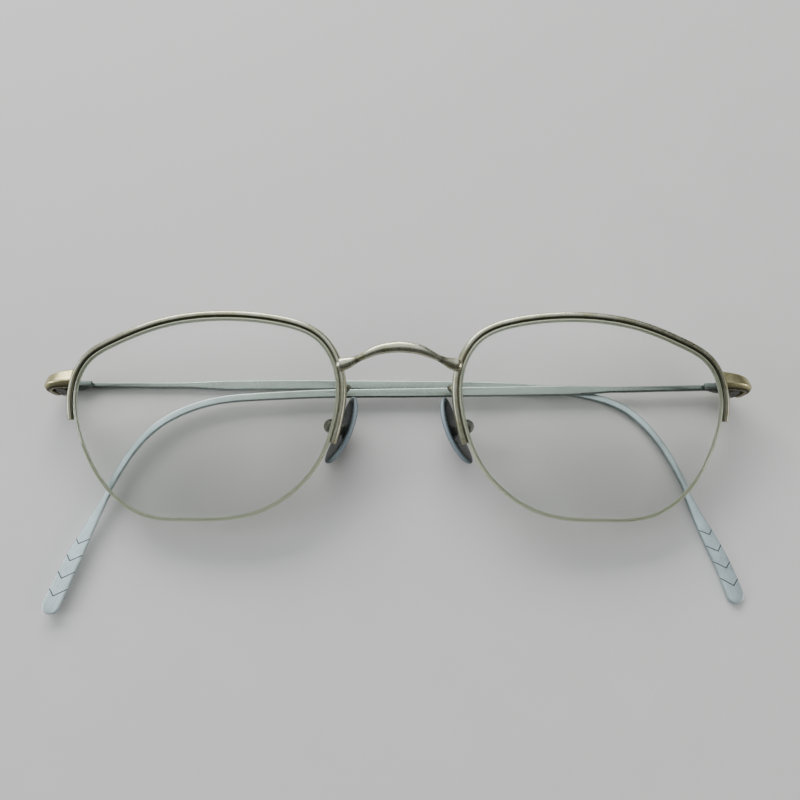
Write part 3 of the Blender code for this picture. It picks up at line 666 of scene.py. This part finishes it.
def rim(hand, side):
    """A rounded channel wire, with chamfered ends that the cord runs into."""
    start, stop = rim_ends()
    inner = GAP
    outer = GAP + RIM_DEPTH
    floor = GAP + CHANNEL_DEPTH
    section = filleted([
        (inner, RIM_HALF, 0.38), (outer, RIM_HALF, 0.52), (outer, -RIM_HALF, 0.45),
        (inner, -RIM_HALF, 0.30), (inner, -GROOVE_HALF, 0.05), (floor, -GROOVE_HALF, 0.05),
        (floor, GROOVE_HALF, 0.05), (inner, GROOVE_HALF, 0.05),
    ], 6)
    middle = np.array([(inner + outer) / 2, 0])
    shares = np.concatenate([[0, 0.0015], np.linspace(0.004, 0.996, 200), [0.9985, 1]])
    sizes = np.interp(shares, [0, 0.0015, 0.9985, 1], [0.86, 1, 1, 0.86])
    rings = []
    for (point, outward), size in zip(edge_span(start + (stop - start) * shares), sizes):
        shaped = middle + (np.array(section) - middle) * size
        rings.append([on_edge(point, outward, offset, depth) for offset, depth in shaped])

    # Painted shade: darker on the rim's inner band, on its back half, and on its side walls at the
    # lens's sides.
    def patina_and_painted_light(i, k):
        offset, depth = section[k]
        side_wall = 0.35 * float(np.interp(abs(shares[i] - 0.5), [0.30, 0.40], [0, 1]))
        inside = float(np.interp(offset, [inner + 0.28, inner + 0.40], [0.95, 0.0]))
        return max(inside, side_wall, 0.5 if depth < 0.2 else 0.0)

    bm = bmesh.new()
    loft(bm, rings, shares * (stop - start), patina_and_painted_light=patina_and_painted_light)
    obj = finished(f"rim_wire_{hand}", bm, LENS_PLANE, side, [LOOKS["rim"]])
    return obj, f"rim_{hand}", "front", "rim_metal"


def tube(bm, curve, along, radius, count, sides):
    """A round wire along a curve, with slightly domed ends."""
    rings = []
    blunt = radius * 0.1
    full = radius * 0.3
    middle = np.linspace(full, along[-1] - full, count)
    lengths = np.concatenate([[0, blunt], middle, [along[-1] - blunt, along[-1]]])
    sizes = np.interp(lengths, [0, blunt, full], [0.7, 0.9, 1.0])
    sizes = np.minimum(sizes, sizes[::-1])
    side_way = None
    for distance, size in zip(lengths, sizes):
        centre = Vector(point_at(curve, along, distance))
        heading = Vector(heading_at(curve, along, distance))
        if side_way is None:
            side_way = heading.orthogonal()
        side_way = (side_way - heading * side_way.dot(heading)).normalized()
        rise = heading.cross(side_way)
        turns = np.arange(sides) * math.tau / sides
        reach = radius * size
        rings.append([centre + (side_way * math.cos(t) + rise * math.sin(t)) * reach for t in turns])
    loft(bm, rings, lengths)


def nylon_cord(hand, side):
    """The cord in the lower edge's groove, from inside one rim end to inside the other."""
    start, stop = rim_ends()
    _, along, _ = lens_curve()
    lengths = np.linspace(stop - CORD_HOLD, start + along[-1] + CORD_HOLD, 300)
    route = np.array([on_edge(p, outward, CORD_OFFSET, 0) for p, outward in edge_span(lengths)])
    measure = np.concatenate([[0.0], np.cumsum(np.linalg.norm(np.diff(route, axis=0), axis=1))])
    bm = bmesh.new()
    tube(bm, route, measure, CORD_RADIUS, 260, 16)
    obj = finished(f"cord_strand_{hand}", bm, LENS_PLANE, side, [LOOKS["nylon"]])
    return obj, f"nylon_cord_{hand}", "front", "nylon"


# ---------------------------------------------------------------- bridge and end pieces


def bridge():
    """A tapered wire with waisted necks and domed feet, soldered on the rims."""
    curve, along = spline(BRIDGE_PATH)
    total = along[-1]
    foot = total - BRIDGE_TIP
    rounding = np.sin(np.linspace(0.1, 0.985, 12) * math.pi / 2)
    distances = [*np.linspace(0, foot, 60), *(foot + BRIDGE_TIP * rounding)]
    sides = 32
    halves = []
    for distance in distances:
        centre = Vector(point_at(curve, along, distance))
        heading = Vector(heading_at(curve, along, distance)) if distance else Vector((1, 0, 0))
        rise = Vector((0, 0, 1)).cross(heading).normalized()
        forward = heading.cross(rise)
        past = max(0.0, distance - foot) / BRIDGE_TIP
        dome = math.sqrt(1 - past**2)
        rise *= eased(BRIDGE_SECTIONS, 1, distance) / 2 * dome
        forward *= eased(BRIDGE_SECTIONS, 2, distance) / 2 * dome
        turns = np.arange(sides) * math.tau / sides
        halves.append([centre + rise * math.cos(t) + forward * math.sin(t) for t in turns])
    mirrored = [[Vector((-p.x, p.y, p.z)) for p in ring] for ring in halves]
    rings = mirrored[:0:-1] + halves
    lengths = np.concatenate([-np.array(distances)[:0:-1], distances])

    # Patina at the waisted necks, and painted shade on the wire's underside.
    def patina_and_painted_light(i, k):
        waist = math.exp(-((abs(lengths[i]) - BRIDGE_NECK) / 0.55) ** 2)
        low = max(0.0, -math.cos(math.tau * k / sides))
        return min(0.85, 0.75 * waist + 0.35 * low**2)

    bm = bmesh.new()
    loft(bm, rings, lengths, patina_and_painted_light=patina_and_painted_light)
    obj = finished("bridge_wire", bm, LENS_PLANE, 1, [LOOKS["rim"]], 60.0)
    return obj, "bridge", "front", "rim_metal"


def end_piece(hand, side):
    """A strap with a crease along it, from the rim round to the hinge."""
    curve, along = spline(END_PIECE_PATH)
    face = STRAP_THICK / 2
    rings = []
    lengths = np.concatenate([np.linspace(0, along[-1] - 0.15, 60), [along[-1]]])
    for distance in lengths:
        centre = Vector(point_at(curve, along, distance))
        heading = Vector(heading_at(curve, along, distance, 0.3))
        heading = Vector((heading.x, 0, heading.z)).normalized()
        out = Vector((-heading.z, 0, heading.x))
        half = eased(END_PIECE_HEIGHTS, 1, distance) / 2
        if distance == along[-1]:
            half -= 0.1
        outline = filleted([
            (-half, -face, 0.15), (half, -face, 0.15), (half, face * 0.15, 0.40),
            (-half * 0.35, face, 0.55), (-half, face * 0.10, 0.20),
        ], 5)
        rings.append([centre + Vector((0, h, 0)) + out * t for h, t in outline])

    # Painted shade on the strap's back face and along its lower edge.
    def patina_and_painted_light(_, k):
        h, t = outline[k]
        if t < -face * 0.6:
            return 0.6
        return float(np.interp(h, [-1.4, -0.95, -0.70], [1.0, 0.9, 0.0]))

    bm = bmesh.new()
    loft(bm, rings, lengths, patina_and_painted_light=patina_and_painted_light)
    obj = finished(f"end_strap_{hand}", bm, FRONT, side, [LOOKS["end"]])
    return obj, f"end_piece_{hand}", "front", "rim_metal"


# ---------------------------------------------------------------- hinges


def barrel(bm, radius, low, high):
    """A round bar along Y, with softened ends."""
    soft = BARREL_CHAMFER
    dip = 0.01
    turned(bm, [
        (0, low), (radius - soft * 2, low), (radius - soft, low + dip), (radius, low + soft),
        (radius, high - soft), (radius - soft, high - dip), (radius - soft * 2, high), (0, high),
    ])


def block(bm, low, high, radius=0.1):
    """A box between two corners, with its edges along Y rounded."""
    (x0, y0, z0), (x1, y1, z1) = low, high
    corners = [(x0, z0, radius), (x1, z0, radius), (x1, z1, radius), (x0, z1, radius)]
    slab(bm, filleted(corners, 3), y0, y1)


def hinge_front(hand, side):
    """Two barrels on a leaf that lies on the strap, and a heel in the strap's bend."""
    low = KNUCKLES["bottom"][0]
    high = KNUCKLES["top"][1]
    near, far = LEAF_FRONT
    bm = bmesh.new()
    block(bm, (BARREL_RADIUS - LEAF_THICK, low, near), (BARREL_RADIUS, high, far))
    near, far = HEEL_SPAN
    heel_top = KNUCKLES["bottom"][1] - WEB_SINK
    block(bm, (-HEEL_HALF, low + WEB_SINK, near), (HEEL_HALF - HEEL_CLEAR, heel_top, far), 0.3)
    inner, deep = WEB_FRONT
    for label in ("bottom", "top"):
        low, high = KNUCKLES[label]
        barrel(bm, BARREL_RADIUS, low, high)
        outer = BARREL_RADIUS - WEB_SINK
        block(bm, (inner, low + WEB_SINK, 0.0), (outer, high - WEB_SINK, deep), 0.05)
    obj = finished(f"hinge_knuckles_{hand}", bm, HINGE_PLACES[hand], side, [LOOKS["hinge"]])
    return obj, f"hinge_front_{hand}", "front", "rim_metal"


def hinge_temple(hand, side):
    """The middle barrel, on a leaf that lies on the temple."""
    middle = TEMPLE_PATHS[hand][0][1]
    foot = -BARREL_RADIUS
    near, far = LEAF_TEMPLE
    bm = bmesh.new()
    block(bm, (-far, middle - LEAF_HALF, foot), (-near, middle + LEAF_HALF, foot + LEAF_THICK), 0.14)
    low, high = KNUCKLES["middle"]
    barrel(bm, BARREL_RADIUS, low, high)
    reach, deep = WEB_TEMPLE
    block(bm, (-reach, low + WEB_SINK, foot + WEB_SINK), (0.0, high - WEB_SINK, foot + deep), 0.05)
    obj = finished(f"hinge_tongue_{hand}", bm, TEMPLE_PLACES[hand], side, [LOOKS["tongue"]])
    return obj, f"hinge_temple_{hand}", f"temple_{hand}", "temple_metal"


def slotted(name, profile, place, side, slot_low, slot_high):
    """A turned screw with a driver's slot across its head."""
    bm = bmesh.new()
    turned(bm, profile)
    obj = finished(name, bm, place, side, [LOOKS["screw"]])
    a, b = SCREW_SLOT_HALF, SCREW_SLOT_REACH
    tool = bmesh.new()
    slab(tool, [(-a, -b), (a, -b), (a, b), (-a, b)], slot_low, slot_high)
    cut(obj, finished("slot_tool", tool, place, side, [LOOKS["screw"]]), 30.0)
    return obj


def hinge_screw(hand, side):
    """A screw with a domed head, through the three barrels."""
    seat = KNUCKLES["top"][1] + SCREW_PLAY
    tip = KNUCKLES["bottom"][0] - SCREW_PLAY
    head = SCREW_HEAD_RADIUS
    slot = seat + 0.22
    profile = [
        (0, tip), (SCREW_RADIUS - SCREW_CHAMFER, tip), (SCREW_RADIUS, tip + SCREW_CHAMFER),
        (SCREW_RADIUS, seat), (head - 0.05, seat), (head, seat + 0.05), (head, slot),
        (head - 0.12, seat + 0.36), (head - 0.35, seat + 0.44), (0, seat + SCREW_HEAD_TALL),
    ]
    name = f"hinge_screw_slotted_{hand}"
    obj = slotted(name, profile, HINGE_PLACES[hand], side, slot, seat + 0.8)
    return obj, f"hinge_screw_{hand}", "front", "screw_steel"


# ---------------------------------------------------------------- temples


def chevrons(curve, along):
    """Cutters for the paddle's grooves: bent bars, the same on both faces."""
    thick = TEMPLE_SECTIONS[-1][2]
    across = (CHEVRON_LEAN, CHEVRON_REACH, CHEVRON_REACH, CHEVRON_LEAN, -CHEVRON_REACH, -CHEVRON_REACH)
    falls = (0.0, CHEVRON_OUTER_FALL, CHEVRON_OUTER_FALL + CHEVRON_WIDTH)
    falls += (CHEVRON_WIDTH, CHEVRON_INNER_FALL + CHEVRON_WIDTH, CHEVRON_INNER_FALL)
    count = len(across)
    tool = bmesh.new()
    for k in range(CHEVRONS):
        distance = along[-1] - CHEVRON_START - CHEVRON_STEP * k
        x, y = point_at(curve, along, distance)
        ahead, rise = heading_at(curve, along, distance, 0.3)
        outline = [(rise * h + ahead * f - x, ahead * h - rise * f + y) for h, f in zip(across, falls)]
        for span in ((thick - CHEVRON_DEPTH, thick + 0.2), (-0.2, CHEVRON_DEPTH)):
            rows = [[tool.verts.new((*spot, z - TEMPLE_OUTER)) for spot in outline] for z in span]
            for i in range(count):
                j = (i + 1) % count
                tool.faces.new((rows[0][i], rows[0][j], rows[1][j], rows[1][i]))
            tool.faces.new(rows[0])
            tool.faces.new(rows[1])
    for face in tool.faces:
        face.material_index = 1
    return tool


def temple(hand, side):
    """A rectangular wire that bends down behind the ear, with a grooved flat paddle."""
    curve, along = spline(TEMPLE_PATHS[hand])
    total = along[-1]
    tip = total - TEMPLE_TIP
    rounding = np.sin(np.linspace(0.1, 0.99, 14) * math.pi / 2)
    lengths = [0, 0.08, *np.linspace(0.25, tip, 330), *(tip + TEMPLE_TIP * rounding)]
    rings = []
    sections = []
    for distance in lengths:
        x, y = point_at(curve, along, distance)
        heading = heading_at(curve, along, distance, 0.3)
        past = max(0.0, distance - tip) / TEMPLE_TIP
        half = eased(TEMPLE_SECTIONS, 1, distance) / 2 * math.sqrt(1 - past**2)
        half -= 0.06 if distance == 0 else 0.0
        thick = eased(TEMPLE_SECTIONS, 2, distance)
        bevel = min(0.24, half * 0.5)
        corners = [(-half, 0), (half, 0), (half, thick), (-half, thick)]
        section = filleted([(*corner, bevel) for corner in corners], 4)
        rings.append([(heading[1] * h - x, heading[0] * h + y, t - TEMPLE_OUTER) for h, t in section])
        sections.append((half, section))

    # Painted shade along the lower edge, strongest on the straight part; darker near the hinge.
    def patina_and_painted_light(i, k):
        half, section = sections[i]
        low_edge = float(np.interp(-section[k][0], [half - 0.20, half - 0.06], [0.0, 0.8]))
        straight = float(np.interp(lengths[i], [88.0, 108.0], [1.0, 0.35]))
        near_hinge = float(np.interp(lengths[i], [3.0, 24.0], [0.45, 0.0]))
        return max(low_edge * straight, near_hinge)

    bm = bmesh.new()
    loft(bm, rings, lengths, patina_and_painted_light=patina_and_painted_light)
    looks = [LOOKS["temple"], LOOKS["groove"]]
    obj = finished(f"temple_wire_{hand}", bm, TEMPLE_PLACES[hand], side, looks, 50.0)
    cut(obj, finished("groove_tool", chevrons(curve, along), TEMPLE_PLACES[hand], side, looks))
    return obj, f"temple_{hand}", f"temple_{hand}", "temple_metal"


# ---------------------------------------------------------------- nose pads


def pad_arm(hand, side):
    """A bent round wire from behind the rim to the pad's box."""
    length, _, _ = pad_axes()
    hold = PAD_PIVOT - length * (BOX_RADIUS + GAP)
    curve, along = spline([*PAD_ARM_PATH, tuple(hold)])
    bm = bmesh.new()
    tube(bm, curve, along, PAD_ARM_RADIUS, 90, 24)
    obj = finished(f"pad_arm_wire_{hand}", bm, LENS_PLANE, side, [LOOKS["shaded_pad_brass"]])
    return obj, f"pad_arm_{hand}", "front", "rim_metal"


def pad_box(hand, side):
    """A round box, slotted into two cheeks that hold the pad's tab."""
    bm = bmesh.new()
    barrel(bm, BOX_RADIUS, -BOX_HALF, BOX_HALF)
    place = pad_place(side)
    obj = finished(f"pad_cheeks_{hand}", bm, place, 1, [LOOKS["shaded_pad_brass"]])
    tool = bmesh.new()
    slot = TAB_HALF + GAP
    low = -TAB_REACH - GAP
    slab(tool, [(-2, low), (2, low), (2, 2), (-2, 2)], -slot, slot)
    cut(obj, finished("cheek_tool", tool, place, 1, [LOOKS["shaded_pad_brass"]]), 30.0)
    return obj, f"pad_box_{hand}", "front", "rim_metal"


def pad_screw(hand, side):
    """A small screw across the pad's box, with its head at the nose's side."""
    seat = -BOX_HALF - SCREW_PLAY
    head = SCREW_HEAD_RADIUS
    slot = seat - 0.2
    profile = [
        (0, seat - PAD_SCREW_HEAD_TALL), (head - 0.35, seat - 0.39), (head - 0.12, seat - 0.32),
        (head, slot), (head, seat - 0.04), (head - 0.04, seat), (PAD_SCREW_RADIUS, seat),
        (PAD_SCREW_RADIUS, BOX_HALF), (0, BOX_HALF),
    ]
    name = f"pad_screw_slotted_{hand}"
    obj = slotted(name, profile, pad_place(side), 1, seat - 0.8, slot)
    return obj, f"pad_screw_{hand}", "front", "screw_steel"


def nose_pad(hand, side):
    """A soft-edged oval, bent round the nose, over its steel core."""
    x = PAD_LENGTH / 2
    y = PAD_WIDTH / 2
    back = PAD_STAND
    front = PAD_STAND + PAD_THICK
    profile = [
        (0.25, back), (0.60, back), (0.84, back + 0.02), (0.93, back + 0.10), (0.98, back + 0.24),
        (1.0, back + 0.42), (1.0, front - 0.62), (0.985, front - 0.42), (0.95, front - 0.26),
        (0.88, front - 0.13), (0.76, front - 0.05), (0.55, front - 0.01), (0.25, front),
    ]
    count = 96
    rings = []
    for size, height in profile:
        width = 1 - (1 - size) * 1.6 if size > 0.8 else size * 0.85
        ring = []
        for k in range(count):
            turn = math.tau * k / count
            px = x * size * math.cos(turn)
            ring.append((px, y * width * math.sin(turn), height - PAD_BOW * px * px))
        rings.append(ring)

    # Painted reflection: the rolled edge is paled, most on the side away from the face.
    def patina_and_painted_light(i, k):
        rolled = float(np.interp(profile[i][0], [0.965, 0.995], [0.0, 1.0]))
        facing = max(0.0, -math.sin(math.tau * k / count))
        return rolled * min(1.0, 0.15 + facing * 1.2) * 0.9

    bm = bmesh.new()
    poles = ((0, 0, back), (0, 0, front))
    loft(bm, rings, np.arange(len(rings)) * 0.5, poles, patina_and_painted_light)
    obj = finished(f"pad_moulded_{hand}", bm, pad_place(side), 1, [LOOKS["pad"]], 60.0)
    return obj, f"nose_pad_{hand}", f"pad_{hand}", "pad_silicone"


# ---------------------------------------------------------------- camera, light and floor

# The camera's distance and offsets from the front's origin in metres, its lens, and the sky's glow.
VIEW_DISTANCE = 0.139
VIEW_RIGHT = 0.00015
VIEW_ABOVE = 0.0030
VIEW_LENS_MM = 36.1
SKY_DIRECTION = (-0.15, 0.42, 0.90)


def camera():
    """The viewing angle: almost straight down, slightly turned and rolled."""
    azimuth = math.radians(3.7)
    elevation = math.radians(75.0)
    roll = math.radians(3.9)
    across = Vector((math.cos(azimuth), -math.sin(azimuth), 0))
    level = Vector((math.sin(azimuth), math.cos(azimuth), 0))
    ahead = level * math.cos(elevation) - Vector((0, 0, math.sin(elevation)))
    up = across.cross(ahead)
    right = across * math.cos(roll) + up * math.sin(roll)
    above = up * math.cos(roll) - across * math.sin(roll)
    place = FRONT_ORIGIN - ahead * VIEW_DISTANCE + right * VIEW_RIGHT + above * VIEW_ABOVE
    data = bpy.data.cameras.new("camera")
    data.sensor_width = 36
    data.lens = VIEW_LENS_MM
    data.clip_start = 0.005
    obj = bpy.data.objects.new("camera", data)
    bpy.context.scene.collection.objects.link(obj)
    turn = Matrix((right, above, -ahead)).transposed().to_4x4()
    obj.matrix_world = Matrix.Translation(place) @ turn
    bpy.context.scene.camera = obj


def softbox(name, place, width, height, power, colour=(1, 1, 1)):
    """A rectangular light that faces the middle of the table."""
    data = bpy.data.lights.new(name, "AREA")
    data.shape = "RECTANGLE"
    data.size = width
    data.size_y = height
    data.energy = power
    data.color = colour
    obj = bpy.data.objects.new(name, data)
    bpy.context.scene.collection.objects.link(obj)
    obj.location = place
    obj.rotation_euler = (-Vector(place)).to_track_quat("-Z", "Y").to_euler()


def studio():
    """Three soft lights, a soft glow overhead, and a pale floor."""
    softbox("key_light", (-0.22, 0.72, 0.42), 0.90, 0.40, 10.0)
    softbox("left_light", (-0.80, -0.05, 0.36), 0.40, 0.30, 3.0, (0.93, 0.97, 1.0))
    softbox("right_light", (0.80, -0.20, 0.36), 0.40, 0.30, 2.0, (1.0, 0.97, 0.92))
    world = bpy.data.worlds.new("studio_world")
    bpy.context.scene.world = world
    world.use_nodes = True
    nodes = world.node_tree.nodes
    links = world.node_tree.links
    coordinates = nodes.new("ShaderNodeTexCoord")
    towards = nodes.new("ShaderNodeVectorMath")
    towards.operation = "DOT_PRODUCT"
    towards.inputs[1].default_value = Vector(SKY_DIRECTION).normalized()
    links.new(coordinates.outputs["Generated"], towards.inputs[0])
    glow = nodes.new("ShaderNodeMapRange")
    glow.interpolation_type = "SMOOTHSTEP"
    for socket, value in (("From Min", 0.62), ("From Max", 0.96), ("To Min", 0.10), ("To Max", 1.35)):
        glow.inputs[socket].default_value = value
    links.new(towards.outputs["Value"], glow.inputs["Value"])
    background = nodes["Background"]
    background.inputs["Color"].default_value = (0.90, 0.96, 1.0, 1)
    links.new(glow.outputs["Result"], background.inputs["Strength"])

    bm = bmesh.new()
    bmesh.ops.create_grid(bm, x_segments=1, y_segments=1, size=1.5)
    look = Look("floor_pale")
    grain = look.noise(look.place(), 90.0, 5.0)
    look.set("Base Color", look.mix(grain, (0.60, 0.59, 0.57), (0.64, 0.63, 0.61)))
    look.set("Roughness", look.ramp(grain, 0.3, 0.7, 0.6, 0.7))
    floor = finished("floor", bm, Matrix.Identity(4), 1, [look.material])


def main():
    camera()
    studio()
    made = [bridge()]
    for hand, side in SIDES.items():
        parts = (lens, rim, nylon_cord, end_piece, hinge_front, hinge_temple, hinge_screw, temple)
        parts += (pad_arm, pad_box, pad_screw, nose_pad)
        made += [build(hand, side) for build in parts]
        for node, look in ((f"rim_liner_{hand}", "nylon"), (f"pad_core_{hand}", "screw")):
            solid = frame["nodes"][node]
            solid.data.materials.clear()
            solid.data.materials.append(LOOKS[look])
    for obj, node, body, slot in made:
        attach(obj, body)
        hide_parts(node)


main()
